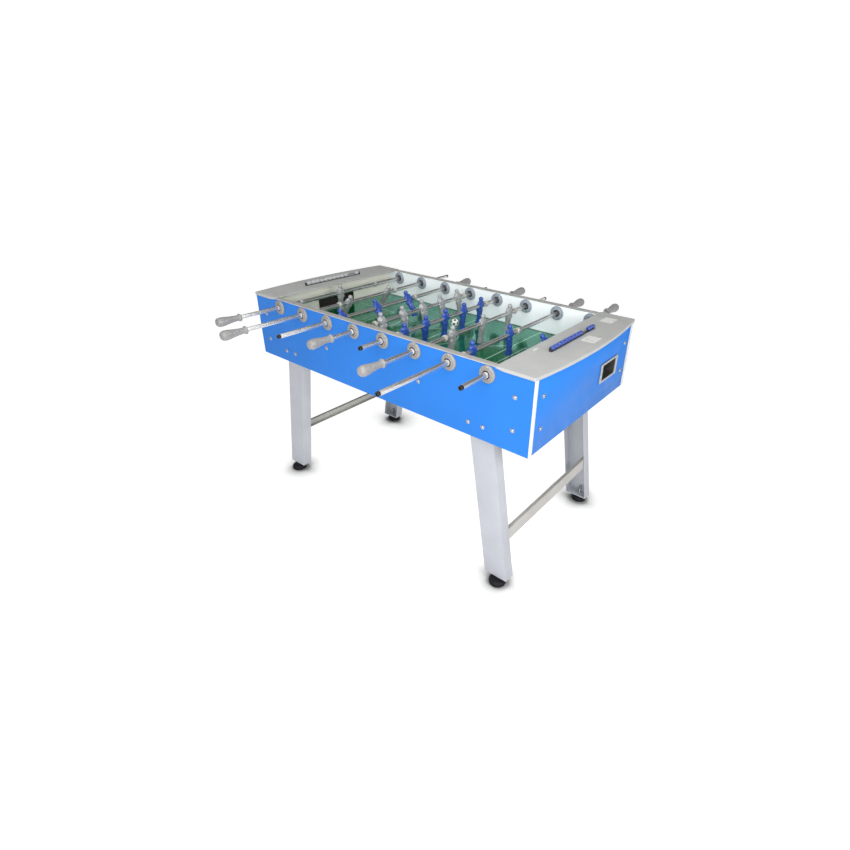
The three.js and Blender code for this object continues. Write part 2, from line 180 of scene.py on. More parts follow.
def pitch_print():
    """The printed pitch: mown bands in two greens and the white markings."""
    s = Shader("pitch_print", roughness=0.6, specular=0.1)
    axes = s.node("ShaderNodeSeparateXYZ")
    s.link(s.place, axes.inputs[0])
    x, y = axes.outputs["X"], axes.outputs["Y"]

    def math_node(kind, a, b=None):
        node = s.node("ShaderNodeMath", operation=kind)
        for socket, value in zip(node.inputs, (a, b)):
            if isinstance(value, bpy.types.NodeSocket):
                s.link(value, socket)
            elif value is not None:
                socket.default_value = value
        return node.outputs[0]

    def close_to(value, target, half_width):
        """1 where the value is within half_width of the target."""
        return math_node("LESS_THAN", math_node("ABSOLUTE", math_node("SUBTRACT", value, target)),
                         half_width)

    def either(*shares):
        whole = shares[0]
        for share in shares[1:]:
            whole = math_node("MAXIMUM", whole, share)
        return whole

    def both(a, b):
        return math_node("MULTIPLY", a, b)

    ax = math_node("ABSOLUTE", x)
    ay = math_node("ABSOLUTE", y)
    line, circle, spot_radius, area_arc = 0.0022, 0.100, 0.005, 0.118
    band = 0.075

    def distance(cx):
        """How far the point is from the nearer of (cx, 0) and (-cx, 0)."""
        dx = math_node("SUBTRACT", ax, cx)
        return math_node("SQRT", math_node("ADD", math_node("MULTIPLY", dx, dx),
                                           math_node("MULTIPLY", y, y)))

    area, goal_area, goal_width, spot = 0.311, 0.362, 0.130, 0.350
    marks = either(
        close_to(ax, 0.0, line),
        close_to(distance(0.0), circle, line),
        math_node("LESS_THAN", distance(0.0), spot_radius),
        close_to(ax, area, line),
        both(close_to(distance(spot), area_arc, line), math_node("LESS_THAN", ax, area)),
        both(close_to(ax, goal_area, line), math_node("LESS_THAN", ay, goal_width)),
        both(close_to(ay, goal_width, line), math_node("GREATER_THAN", ax, goal_area)),
    )
    bands = math_node("PINGPONG", math_node("ADD", x, band), band)
    mown = s.mix(math_node("GREATER_THAN", bands, band / 2), (0.003, 0.112, 0.038),
                 (0.005, 0.145, 0.050))
    worn = s.mix(s.spread(s.noise(30, 5), 0, 1), (0.002, 0.092, 0.031), mown)
    s.colour(s.mix(marks, worn, (0.62, 0.70, 0.62)))
    s.bump(s.noise(1500, 2), 0.08, 0.0002)
    return s.material


def clear_sheet():
    """The gloss sheet over the pitch: clear, with mirror-like reflections that grow at low angles."""
    s = Shader("clear_sheet")
    s.tree.nodes.remove(s.bsdf)
    clear = s.node("ShaderNodeBsdfTransparent")
    clear.inputs["Color"].default_value = (0.93, 0.99, 0.95, 1)
    gloss = s.node("ShaderNodeBsdfGlossy")
    gloss.inputs["Color"].default_value = (0.60, 0.98, 0.93, 1)
    s.link(s.spread(s.noise(14, 3), 0.012, 0.05), gloss.inputs["Roughness"])
    edge = s.node("ShaderNodeLayerWeight")
    edge.inputs["Blend"].default_value = 0.5
    steep = s.node("ShaderNodeMath", operation="POWER")
    steep.inputs[1].default_value = 4.0
    s.link(edge.outputs["Facing"], steep.inputs[0])
    mix = s.node("ShaderNodeMixShader")
    s.link(s.spread(steep.outputs[0], 0.02, 0.75, 0.0, 1.0), mix.inputs[0])
    s.link(clear.outputs[0], mix.inputs[1])
    s.link(gloss.outputs[0], mix.inputs[2])
    s.link(mix.outputs[0], s.tree.nodes["Material Output"].inputs["Surface"])
    return s.material


def floor_paint():
    """The pale studio floor, a little lit from within as a light table, with a painted contact
    shadow: its glow fades out close under a foot, from ambient occlusion."""
    s = Shader("studio_floor", roughness=0.7)
    s.colour(s.mix(s.spread(s.noise(1.5, 2), 0, 1), (0.37, 0.37, 0.372), (0.39, 0.39, 0.39)))
    # painted contact shadow: ambient occlusion takes the floor's glow away close under a foot
    near = s.node("ShaderNodeAmbientOcclusion", samples=16)
    near.inputs["Distance"].default_value = 0.14
    s.link(s.spread(near.outputs["AO"], 0.0, 0.93, 0.62, 0.985), s.bsdf.inputs["Emission Strength"])
    s.bsdf.inputs["Emission Color"].default_value = (1, 1, 1, 1)
    return s.material


PAINT = {
    "blue": finished("blue_laminate", (0.020, 0.168, 0.575), (0.42, 0.54), specular=0.14,
                     vary=0.05, patch=3, grain=700, bump=0.06),
    "white": finished("white_laminate", (0.89, 0.92, 0.95), (0.35, 0.5), vary=0.03, bump=0.05),
    "cream": finished("cream_laminate", (0.86, 0.83, 0.74), (0.4, 0.55), vary=0.03, bump=0.05),
    "core": finished("board_edge", (0.60, 0.60, 0.58), (0.6, 0.8), vary=0.12, patch=60, bump=0.3),
    "raw": finished("raw_board", (0.045, 0.038, 0.032), (0.7, 0.9), vary=0.35, patch=90, bump=0.5),
    "end_top": finished("end_top_moulding", (0.385, 0.39, 0.378), (0.42, 0.6), vary=0.06, patch=14,
                        grain=520, bump=0.35),
    "rail": finished("rail_aluminium", (0.62, 0.61, 0.58), (0.30, 0.48), metallic=0.85, vary=0.08,
                     patch=20, stretch=(0.04, 1, 1), bump=0.1),
    "trim": finished("corner_trim", (0.60, 0.62, 0.65), (0.3, 0.42), vary=0.04, bump=0.1),
    "tray": finished("tray_moulding", (0.035, 0.034, 0.033), (0.45, 0.65), vary=0.2, bump=0.25),
    "bezel": finished("bezel_moulding", (0.36, 0.36, 0.355), (0.4, 0.55), vary=0.06, bump=0.25),
    "leg": finished("leg_powder_coat", (0.41, 0.425, 0.465), (0.36, 0.5), metallic=0.15, vary=0.05,
                    grain=1300, bump=0.22),
    "crossbar": finished("crossbar_powder_coat", (0.44, 0.425, 0.405), (0.4, 0.55), vary=0.06,
                         grain=1300, bump=0.22),
    "rubber": finished("foot_rubber", (0.010, 0.009, 0.013), (0.5, 0.75), specular=0.2, vary=0.3,
                       patch=50, bump=0.3),
    "chrome": finished("rod_chrome", (0.62, 0.615, 0.61), (0.25, 0.31), metallic=0.9, vary=0.05,
                       patch=20, stretch=(1, 0.08, 1), grain=60, bump=0.01),
    "grey_man": finished("grey_player_plastic", (0.29, 0.30, 0.305), (0.22, 0.36), vary=0.14,
                         patch=120, bump=0.12, coat=0.4),
    "blue_man": finished("blue_player_plastic", (0.020, 0.066, 0.33), (0.22, 0.38), vary=0.16,
                         patch=120, bump=0.12, coat=0.25),
    "grip": finished("grip_plastic", (0.245, 0.24, 0.235), (0.36, 0.58), vary=0.18, patch=160,
                     grain=1400, bump=0.5),
    "nylon": finished("bush_nylon", (0.012, 0.012, 0.013), (0.35, 0.5), vary=0.2, bump=0.15),
    "sleeve": finished("sleeve_nylon", (0.50, 0.485, 0.485), (0.3, 0.45), vary=0.08, patch=80,
                       bump=0.15),
    "housing": finished("housing_plastic", (0.245, 0.235, 0.225), (0.32, 0.48), vary=0.16, patch=140,
                        grain=500, bump=0.6),
    # painted shade: the housing's own plastic, coloured the bluer grey it shows in shade, for the nut
    # inside the board
    "nut": finished("housing_nut", (0.29, 0.325, 0.37), (0.32, 0.5), vary=0.14, patch=90,
                    bump=0.25),
    "counter": finished("counter_black", (0.018, 0.018, 0.02), (0.35, 0.55), vary=0.2, bump=0.2),
    "blue_bead": finished("blue_bead", (0.025, 0.060, 0.30), (0.2, 0.34), vary=0.15, patch=90,
                          bump=0.08, coat=0.3),
    "grey_bead": finished("grey_bead", (0.36, 0.37, 0.38), (0.25, 0.4), vary=0.12, patch=90,
                          bump=0.08, coat=0.2),
    "bumper": finished("bumper_rubber", (0.40, 0.395, 0.365), (0.55, 0.75), vary=0.1, patch=120,
                       bump=0.3),
    "grey_bumper": finished("grey_bumper_rubber", (0.30, 0.31, 0.32), (0.55, 0.75), vary=0.1,
                            patch=120, bump=0.3),
    "steel": finished("zinc_steel", (0.44, 0.45, 0.47), (0.16, 0.3), metallic=1.0, vary=0.12,
                      patch=200, bump=0.1),
    "plate": finished("white_plate", (0.58, 0.585, 0.56), (0.25, 0.35), vary=0.03, bump=0.05),
    "ball_white": finished("ball_white", (0.85, 0.85, 0.83), (0.4, 0.55), vary=0.04, patch=120,
                           bump=0.15),
    "ball_black": finished("ball_black", (0.012, 0.012, 0.013), (0.4, 0.55), vary=0.2, patch=120,
                           bump=0.15),
    "print": pitch_print(),
    "sheet": clear_sheet(),
}


# ---------------------------------------------------------------- mesh helpers

def new_object(name, mesh):
    obj = bpy.data.objects.new(name, mesh)
    bpy.context.scene.collection.objects.link(obj)
    return obj


def piece(name, bm, paint, body, stands_for=(), bevel=0.0, bevel_angle=35, sharp=40,
          segments=2, place=None):
    """Turns bm into a piece on its body. paint is one key of PAINT, or several by material
    index. A piece without a bevel has a sharp edge wherever it turns by more than sharp degrees."""
    bmesh.ops.recalc_face_normals(bm, faces=bm.faces)
    mesh = bpy.data.meshes.new(name)
    bm.to_mesh(mesh)
    bm.free()
    for key in [paint] if isinstance(paint, str) else paint:
        mesh.materials.append(PAINT[key])
    mesh.shade_smooth()
    if not bevel:
        mesh.set_sharp_from_angle(angle=math.radians(sharp))
    obj = new_object(name, mesh)
    if bevel:
        modifier = obj.modifiers.new("edges", "BEVEL")
        modifier.width = bevel
        modifier.segments = segments
        modifier.limit_method = "ANGLE"
        modifier.angle_limit = math.radians(bevel_angle)
        modifier.harden_normals = True
    return on_body(obj, body, stands_for, place)


def on_body(obj, body, stands_for=(), place=None):
    if place is not None:
        obj.matrix_world = place
    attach(obj, body)
    if stands_for:
        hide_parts(*stands_for)
    return obj


def add_box(bm, low, high):
    low, high = Vector(low), Vector(high)
    made = bmesh.ops.create_cube(bm, size=1)["verts"]
    for v in made:
        v.co = Vector((low[i] + (v.co[i] + 0.5) * (high[i] - low[i]) for i in range(3)))
    return made


def cut_with(bm, cutter):
    """bm less the cutter, both closed, worked out exactly."""
    meshes = []
    for source in (bm, cutter):
        bmesh.ops.recalc_face_normals(source, faces=source.faces)
        mesh = bpy.data.meshes.new("cut")
        source.to_mesh(mesh)
        source.free()
        meshes.append(mesh)
    whole, tool = new_object("cut_whole", meshes[0]), new_object("cut_tool", meshes[1])
    modifier = whole.modifiers.new("cut", "BOOLEAN")
    modifier.object = tool
    modifier.operation = "DIFFERENCE"
    modifier.solver = "EXACT"
    graph = bpy.context.evaluated_depsgraph_get()
    result = bmesh.new()
    result.from_object(whole, graph)
    bpy.data.objects.remove(whole)
    bpy.data.objects.remove(tool)
    bmesh.ops.dissolve_limit(result, angle_limit=math.radians(0.5), verts=result.verts,
                             edges=result.edges)
    return result


def rounded(points, radius, steps=4):
    """The polyline's points with each inner corner turned into an arc of about that radius."""
    result = [points[0]]
    for before, corner, after in zip(points, points[1:], points[2:]):
        b, c, a = Vector(before), Vector(corner), Vector(after)
        into, out = b - c, a - c
        reach = min(radius, into.length * 0.45, out.length * 0.45)
        start, end = c + into.normalized() * reach, c + out.normalized() * reach
        for i in range(steps + 1):
            t = i / steps
            result.append(tuple(start * (1 - t) ** 2 + c * (2 * t * (1 - t)) + end * t ** 2))
    result.append(points[-1])
    return result


def ring_loop(points, radius, steps=3):
    """As rounded, for a closed loop of points."""
    return rounded([points[-1], *points, points[0]], radius, steps)[1:-1]


def lathe(bm, profile, sides=40, closed=False, flute=None, about="Y"):
    """Revolves [radius, height] points about Y, or about Z. A point on the axis is a pole. flute
    gives a share that scales the radius from the angle and the height."""
    loops = []
    for radius, height in profile:
        pole = radius < 1e-7
        loop = []
        for i in range(1 if pole else sides):
            turn = 2 * math.pi * i / sides
            r = radius * (flute(turn, height) if flute else 1)
            across, up = r * math.cos(turn), r * math.sin(turn)
            spot = (across, height, up) if about == "Y" else (across, up, height)
            loop.append(bm.verts.new(spot))
        loops.append(loop)
    pairs = list(zip(loops, loops[1:]))
    if closed:
        pairs.append((loops[-1], loops[0]))
    for a, b in pairs:
        for i in range(sides):
            j = (i + 1) % sides
            corners = [a[i % len(a)], a[j % len(a)], b[j % len(b)], b[i % len(b)]]
            unique = list(dict.fromkeys(corners))
            if len(unique) > 2:
                bm.faces.new(unique)


def ring(profile, radius, steps, sides):
    """A closed ring about Y from a loop of [radius, y] points, with its corners rounded."""
    bm = bmesh.new()
    lathe(bm, ring_loop(profile, radius, steps), sides, closed=True)
    return bm


def moved(bm, offset):
    bmesh.ops.translate(bm, verts=bm.verts, vec=Vector(offset))
    return bm


def absorb(bm, part):
    """Adds the part's faces to bm and frees the part."""
    mesh = bpy.data.meshes.new("part")
    part.to_mesh(mesh)
    part.free()
    bm.from_mesh(mesh)


def loft(bm, rings, sides=16, power=2.4):
    """A closed skin through level rings, each (z, half width on Y, half depth on X, x, y)."""
    loops = []
    for z, wide, deep, x, y in rings:
        loop = []
        for i in range(sides):
            turn = 2 * math.pi * i / sides
            c, s = math.cos(turn), math.sin(turn)
            loop.append(bm.verts.new((x + deep * math.copysign(abs(c) ** (2 / power), c),
                                      y + wide * math.copysign(abs(s) ** (2 / power), s), z)))
        loops.append(loop)
    for a, b in zip(loops, loops[1:]):
        for i in range(sides):
            j = (i + 1) % sides
            bm.faces.new((a[i], a[j], b[j], b[i]))
    bm.faces.new(loops[0])
    bm.faces.new(loops[-1])


def extrude_outline(bm, outline, z0, z1):
    """A closed solid of a plan outline between two heights."""
    low = [bm.verts.new((x, y, z0)) for x, y in outline]
    high = [bm.verts.new((x, y, z1)) for x, y in outline]
    bm.faces.new(low)
    bm.faces.new(high)
    for i in range(len(outline)):
        j = (i + 1) % len(outline)
        bm.faces.new((low[i], low[j], high[j], high[i]))


def from_cad(node):
    """The CAD node's mesh with its flat faces made whole again."""
    bm = bmesh.new()
    bm.from_mesh(frame["nodes"][node].data)
    bmesh.ops.remove_doubles(bm, verts=bm.verts, dist=1e-6)
    bmesh.ops.dissolve_limit(bm, angle_limit=math.radians(0.5), verts=bm.verts, edges=bm.edges)
    return bm


def about_z(angle):
    """A turn about the upright axis. Left-hand and far pieces are the others turned by pi."""
    return Matrix.Rotation(angle, 4, "Z")


# ---------------------------------------------------------------- cabinet

BLUE, WHITE, CORE, RAW = 0, 1, 2, 3


def paint_faces(bm, axis, outer, inner):
    """Laminate on the outer face and, where there is one, on the inner; plain edges between."""
    for face in bm.faces:
        middle = face.calc_center_median()[axis]
        flat = abs(face.normal[axis]) > 0.9
        if flat and abs(middle - outer) < 1e-4:
            face.material_index = BLUE
        elif flat and inner is not None and abs(middle - inner) < 1e-4:
            face.material_index = WHITE
        else:
            face.material_index = CORE


def side_board(side, sign):
    outer, inner = sign * HALF_WIDTH, sign * (HALF_WIDTH - BOARD)
    bm = bmesh.new()
    add_box(bm, (-HALF_LENGTH, min(outer, inner), BOARD_BOTTOM),
            (HALF_LENGTH, max(outer, inner), BOARD_TOP))
    cutter = bmesh.new()
    for number in NUMBERS:
        hole = bmesh.new()
        lathe(hole, [(0, -0.5), (0.0203, -0.5), (0.0203, 0.5), (0, 0.5)], sides=48)
        absorb(cutter, moved(hole, (rod_x(number), 0, ROD_Z)))
    bm = cut_with(bm, cutter)
    bmesh.ops.recalc_face_normals(bm, faces=bm.faces)
    paint_faces(bm, 1, outer, inner)
    for spot, normal in (((PITCH_HALF, 0, 0), (1, 0, 0)), ((-PITCH_HALF, 0, 0), (1, 0, 0)),
                         ((0, 0, PITCH_TOP), (0, 0, 1))):
        faces = [face for face in bm.faces if face.material_index == WHITE]
        edges = {edge for face in faces for edge in face.edges}
        verts = {vert for face in faces for vert in face.verts}
        bmesh.ops.bisect_plane(bm, geom=[*faces, *edges, *verts], plane_co=spot, plane_no=normal)
    for face in bm.faces:
        middle = face.calc_center_median()
        beyond = abs(middle.x) > PITCH_HALF or middle.z < PITCH_TOP
        if face.material_index == WHITE and beyond:
            face.material_index = RAW
    piece(f"side_board_{side}", bm, ("blue", "white", "core", "raw"), "cabinet",
          (f"side_panel_{side}",), bevel=0.0009, bevel_angle=60)


def housing_profiles():
    """The bearing housing: a stepped outer flange with its barrel through the board, and the
    ringed nut that holds it from inside, both as loops of [radius, y] on the near side."""
    outer, face_out, face_in, inner = -0.375, -0.365, -0.345, -0.3385
    flange = [
        (HOUSING_BORE, outer + 0.0012), (0.0150, outer), (0.0178, outer), (0.0188, outer + 0.0034),
        (0.0210, outer + 0.0034), (0.0218, outer + 0.0018), (0.0240, outer + 0.0024),
        (0.0278, outer + 0.0046), (HOUSING_R, outer + 0.0072),
        (HOUSING_R, face_out - 0.0001), (0.0200, face_out - 0.0001), (0.0200, inner - 0.0040),
        (HOUSING_BORE, inner - 0.0040),
    ]
    nut = [
        (0.0202, face_in + 0.0001), (HOUSING_R, face_in + 0.0001), (HOUSING_R, inner - 0.0030),
        (0.0282, inner - 0.0014), (0.0262, inner - 0.0014), (0.0254, inner - 0.0032),
        (0.0236, inner - 0.0032), (0.0228, inner - 0.0006), (0.0208, inner), (0.0190, inner),
        (0.0184, inner - 0.0020), (0.0166, inner - 0.0020), (0.0160, inner - 0.0002),
        (0.0146, inner - 0.0002), (0.0141, inner - 0.0010), (0.0141, inner - 0.0038),
        (0.0202, inner - 0.0038),
    ]
    return flange, nut


def screw_head(bm, radius, height, sides=16):
    """A small domed head on the Y axis, pointing to -Y, with a socket in it."""
    lathe(bm, [(radius, 0.0), *rounded([(radius, 0.0), (radius, -height * 0.5),
                                        (radius * 0.55, -height), (radius * 0.40, -height)],
                                       height * 0.4, 3)[1:],
               (radius * 0.40, -height * 0.45), (0, -height * 0.45)], sides)


def housings(side, sign):
    turn = about_z(0 if sign < 0 else math.pi)
    flange, nut = housing_profiles()
    for number in NUMBERS:
        # the nut is the housing's plastic with painted shade, a bluer grey, as its colour
        for name, profile, paint in (("housing", flange, "housing"), ("housing_nut", nut, "nut")):
            bm = moved(ring(profile, 0.0009, 2, 48), (sign * -rod_x(number), 0, ROD_Z))
            piece(f"{name}_{side}_{number}", bm, paint, "cabinet", sharp=50,
                  place=turn)
    circle, face = 0.0235, -0.37165     # the screws' circle and the flange face they stand on
    bm = bmesh.new()
    for number in NUMBERS:
        for i in range(3):
            angle = math.radians(90 + 120 * i)
            head = bmesh.new()
            screw_head(head, 0.0032, 0.0016)
            absorb(bm, moved(head, (sign * -rod_x(number) + circle * math.cos(angle), face,
                                    ROD_Z + circle * math.sin(angle))))
    piece(f"housing_screws_{side}", bm, "steel", "cabinet", place=turn)


def side_rail(side, sign):
    """The metal capping on a side board, with two shallow grooves along it."""
    low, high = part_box(f"side_rail_{side}")
    w, t = (high.y - low.y) / 2, high.z - low.z
    section = ring_loop([(-w, 0), (w, 0), (w, t), (0.0062, t), (0.0054, t - 0.0007),
                         (0.0046, t), (-0.0046, t), (-0.0054, t - 0.0007), (-0.0062, t), (-w, t)],
                        0.0008, 3)
    bm = bmesh.new()
    extrude_outline(bm, section, low.x, high.x)
    upright = Matrix(((0, 0, 1, 0), (1, 0, 0, (low.y + high.y) / 2), (0, 1, 0, low.z), (0, 0, 0, 1)))
    bmesh.ops.transform(bm, matrix=upright, verts=bm.verts)
    piece(f"capping_{side}", bm, "rail", "cabinet", (f"side_rail_{side}",))


def edge_strips():
    """The white edging on the cut ends of the side boards, rounded on its long edges."""
    low, high, thick = -0.0098, 0.0098, 0.0018
    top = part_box("end_top_right")[0].z - 0.0003
    outline = ring_loop([(0.0001, low), (thick, low), (thick, high), (0.0001, high)], 0.0014, 4)
    for end, sx in (("right", 1), ("left", -1)):
        for side, sy in (("near", -1), ("far", 1)):
            bm = bmesh.new()
            extrude_outline(bm, outline, BOARD_BOTTOM + 0.0002, top)
            bmesh.ops.transform(bm, matrix=Matrix.Diagonal((sx, 1, 1, 1)), verts=bm.verts)
            moved(bm, (sx * HALF_LENGTH, sy * (HALF_WIDTH - BOARD / 2), 0))
            piece(f"edge_strip_{side}_{end}", bm, "trim", "cabinet")


def end_board(end, angle):
    bm = from_cad("end_panel_right")
    bmesh.ops.recalc_face_normals(bm, faces=bm.faces)
    paint_faces(bm, 0, HALF_LENGTH, HALF_LENGTH - BOARD)
    piece(f"end_board_{end}", bm, ("blue", "raw", "raw"), "cabinet",
          (f"end_panel_{end}",), bevel=0.0008, bevel_angle=60, place=about_z(angle))


def goal_board(end, angle):
    """Cream laminate towards the pitch, raw board behind and round the mouth."""
    bm = from_cad("goal_wall_right")
    bmesh.ops.recalc_face_normals(bm, faces=bm.faces)
    paint_faces(bm, 0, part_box("goal_wall_right")[0].x, None)
    piece(f"goal_board_{end}", bm, ("cream", "raw", "raw"), "cabinet",
          (f"goal_wall_{end}",), bevel=0.0008, bevel_angle=60, place=about_z(angle))


def pitch():
    half_y = HALF_WIDTH - BOARD - 0.0003
    board, glass = bmesh.new(), bmesh.new()
    low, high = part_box("playfield")
    split = PITCH_TOP - SHEET
    add_box(board, low, (high.x, high.y, split - 0.0002))
    add_box(glass, (-PITCH_HALF, -half_y, split), (PITCH_HALF, half_y, PITCH_TOP))
    piece("pitch_board", board, "print", "cabinet", ("playfield",), bevel=0.0006)
    piece("pitch_sheet", glass, "sheet", "cabinet", bevel=0.0005)


def end_top_outline(inset, inner, steps=40):
    """Plan of the right-hand end top: a straight inner edge and one shallow outer arc."""
    low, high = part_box("end_top_right")
    corner, middle, half = 0.6935, high.x, high.y
    rise = middle - corner
    radius = (half ** 2 + rise ** 2) / (2 * rise)
    sweep = math.asin((half - inset) / (radius - inset))
    arc = []
    for i in range(steps + 1):
        turn = -sweep + 2 * sweep * i / steps
        arc.append((middle - radius + (radius - inset) * math.cos(turn),
                    (radius - inset) * math.sin(turn)))
    return [(inner, -(half - inset)), *arc, (inner, half - inset)]


def end_top(end, angle):
    """The moulded lid: a plate with a rolled edge and a skirt round its three outer sides."""
    low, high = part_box("end_top_right")
    lid, hollow = bmesh.new(), bmesh.new()
    extrude_outline(lid, ring_loop(end_top_outline(0, low.x), 0.0045, 4), low.z, high.z)
    extrude_outline(hollow, end_top_outline(0.0032, low.x - 0.02), low.z - 0.01, high.z - 0.0055)
    lid = cut_with(lid, hollow)
    wedge = bmesh.new()     # the ends of the skirt taper up to the plate towards the pitch
    extrude_outline(wedge, [(low.x - 0.01, low.z - 0.01), (low.x + 0.034, low.z - 0.0005),
                            (low.x - 0.01, high.z - 0.0050)], -0.5, 0.5)
    upright = Matrix(((1, 0, 0, 0), (0, 0, 1, 0), (0, 1, 0, 0), (0, 0, 0, 1)))
    bmesh.ops.transform(wedge, matrix=upright, verts=wedge.verts)
    piece(f"end_lid_{end}", cut_with(lid, wedge), "end_top", "cabinet",
          (f"end_top_{end}",), bevel=0.0028, segments=4, bevel_angle=50, place=about_z(angle))


def ball_way(end, angle):
    """The tray and outlet box inside, and the bezel on the outside of the end board."""
    face = HALF_LENGTH + 0.0003
    low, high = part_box("ball_tray_right")
    bezel_near, side_rim, top_rim = 0.110, 0.0145, 0.0080
    tray = from_cad("ball_tray_right")
    cutter = bmesh.new()
    add_box(cutter, (face - 0.0004, low.y - 0.1, low.z - 0.1),
            (high.x + 0.1, high.y + 0.1, high.z + 0.1))
    piece(f"ball_tray_{end}_moulding", cut_with(tray, cutter), "tray", "cabinet",
          (f"ball_tray_{end}",), bevel=0.0006, place=about_z(angle))
    bezel, hole = bmesh.new(), bmesh.new()
    add_box(bezel, (face, bezel_near, low.z), (high.x, high.y, high.z))
    add_box(hole, (face - 0.01, bezel_near + side_rim, low.z + top_rim),
            (high.x + 0.01, high.y - side_rim, high.z - top_rim))
    piece(f"outlet_bezel_{end}", cut_with(bezel, hole), "bezel", "cabinet",
          bevel=0.0019, segments=3, place=about_z(angle))


def bolt_group(name, spots, place):
    """Domed bolts on washers, on a face that looks to -Y, at (x, y of the face, z)."""
    bm = bmesh.new()
    for x, y, z in spots:
        bolt = bmesh.new()
        lathe(bolt, [(0, 0), *rounded([(0, 0), (0.0082, 0), (0.0082, -0.0012), (0.0062, -0.0016)],
                                      0.0004, 2)[1:],
                     *rounded([(0.0062, -0.0016), (0.0060, -0.0036), (0.0038, -0.0052),
                               (0.0024, -0.0052)], 0.0012, 4)[1:],
                     (0.0024, -0.0026), (0, -0.0026)], 28)
        absorb(bm, moved(bolt, (x, y, z)))
    piece(name, bm, "steel", "cabinet", place=place)


def bolts():
    side = [(sx * 0.628, z) for sx in (1, -1) for z in (0.790, 0.677)]
    side += [(sx * x, 0.649) for sx in (1, -1) for x in (0.459, 0.517)]
    side += [(-0.242, 0.729), (0.242, 0.729)]
    spots = [(x, -HALF_WIDTH - 0.0001, z) for x, z in side]
    bolt_group("side_bolts_near", spots, about_z(0))
    bolt_group("side_bolts_far", spots, about_z(math.pi))
    ends = [(y, -HALF_LENGTH - 0.0001, z) for y in (0.305, -0.305) for z in (0.793, 0.681)]
    bolt_group("end_bolts_right", ends, about_z(math.pi / 2))
    bolt_group("end_bolts_left", ends, about_z(-math.pi / 2))


def plates():
    """Two blank labels and the small oval badge on the right-hand end top."""
    top = END_TOP_Z + 0.0001
    labels = (((0.643, 0.006), (0.693, 0.073)), ((0.600, 0.250), (0.648, 0.312)))
    for number, ((x0, y0), (x1, y1)) in enumerate(labels, 1):
        bm = bmesh.new()
        corners = [(x0, y0), (x1, y0), (x1, y1), (x0, y1)]
        extrude_outline(bm, ring_loop(corners, 0.006, 5), top, top + 0.0006)
        piece(f"blank_label_{number}", bm, "plate", "cabinet", bevel=0.0002)
    bm = bmesh.new()
    oval_x, oval_y, half_x, half_y, sides = 0.574, -0.170, 0.0055, 0.014, 36
    turns = [math.tau * i / sides for i in range(sides)]
    oval = [(oval_x + half_x * math.cos(t), oval_y + half_y * math.sin(t)) for t in turns]
    extrude_outline(bm, oval, top, top + 0.0014)
    piece("oval_badge", bm, "plate", "cabinet", bevel=0.0005)


def cabinet():
    for side, sign in (("near", -1), ("far", 1)):
        side_board(side, sign)
        housings(side, sign)
        side_rail(side, sign)
    edge_strips()
    pitch()
    for end, angle in (("right", 0), ("left", math.pi)):
        end_board(end, angle)
        goal_board(end, angle)
        end_top(end, angle)
        ball_way(end, angle)
    bolts()
    plates()


# ---------------------------------------------------------------- stand

def stand():
    for end in ("right", "left"):
        bm = from_cad(f"crossbar_{end}")
        piece(f"crossbar_{end}_channel", bm, "crossbar", "cabinet",
              (f"crossbar_{end}",), bevel=0.0011, segments=3, bevel_angle=50)
        for side in ("near", "far"):
            name = f"{side}_{end}"
            piece(f"leg_{name}_channel", from_cad(f"leg_{name}"), "leg", "cabinet",
                  (f"leg_{name}",), bevel=0.0014, segments=3, bevel_angle=50)
            foot(name)


def foot(name):
    low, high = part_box(f"foot_{name}")
    centre = Matrix.Translation(((low.x + high.x) / 2, (low.y + high.y) / 2, 0))
    bm = bmesh.new()
    pad = [(0, 0.0004), (0.0295, 0.0004), (0.0300, 0.0), (0.0316, 0.0022), (0.0328, 0.0045),
           (0.0318, 0.0058), (0.0328, 0.0071), (0.0318, 0.0084), (0.0328, 0.0097), (0.0330, 0.0140),
           (0.0300, 0.0185), (0.0265, 0.0216), (0.0120, 0.0221), (0, 0.0221)]
    lathe(bm, rounded(pad, 0.0008, 2), sides=64, about="Z")
    piece(f"foot_pad_{name}", bm, "rubber", f"foot_{name}", (f"foot_{name}",),
          sharp=60, place=centre)
    bm = bmesh.new()
    hexagon = [(0.0109 * math.cos(math.tau * i / 6), 0.0109 * math.sin(math.tau * i / 6))
               for i in range(6)]
    extrude_outline(bm, hexagon, 0.0222, 0.0342)
    thread = [(0, 0.0343)]
    turns = 24
    for i in range(turns):
        z = 0.0343 + i * (high.z - 0.0347) / turns
        thread += [(0.0051, z + 0.0001), (0.0058, z + 0.0008)]
    lathe(bm, [*thread, (0, high.z - 0.0002)], sides=20, about="Z")
    piece(f"foot_stud_{name}", bm, "steel", f"foot_{name}", sharp=30, place=centre)


# ---------------------------------------------------------------- players

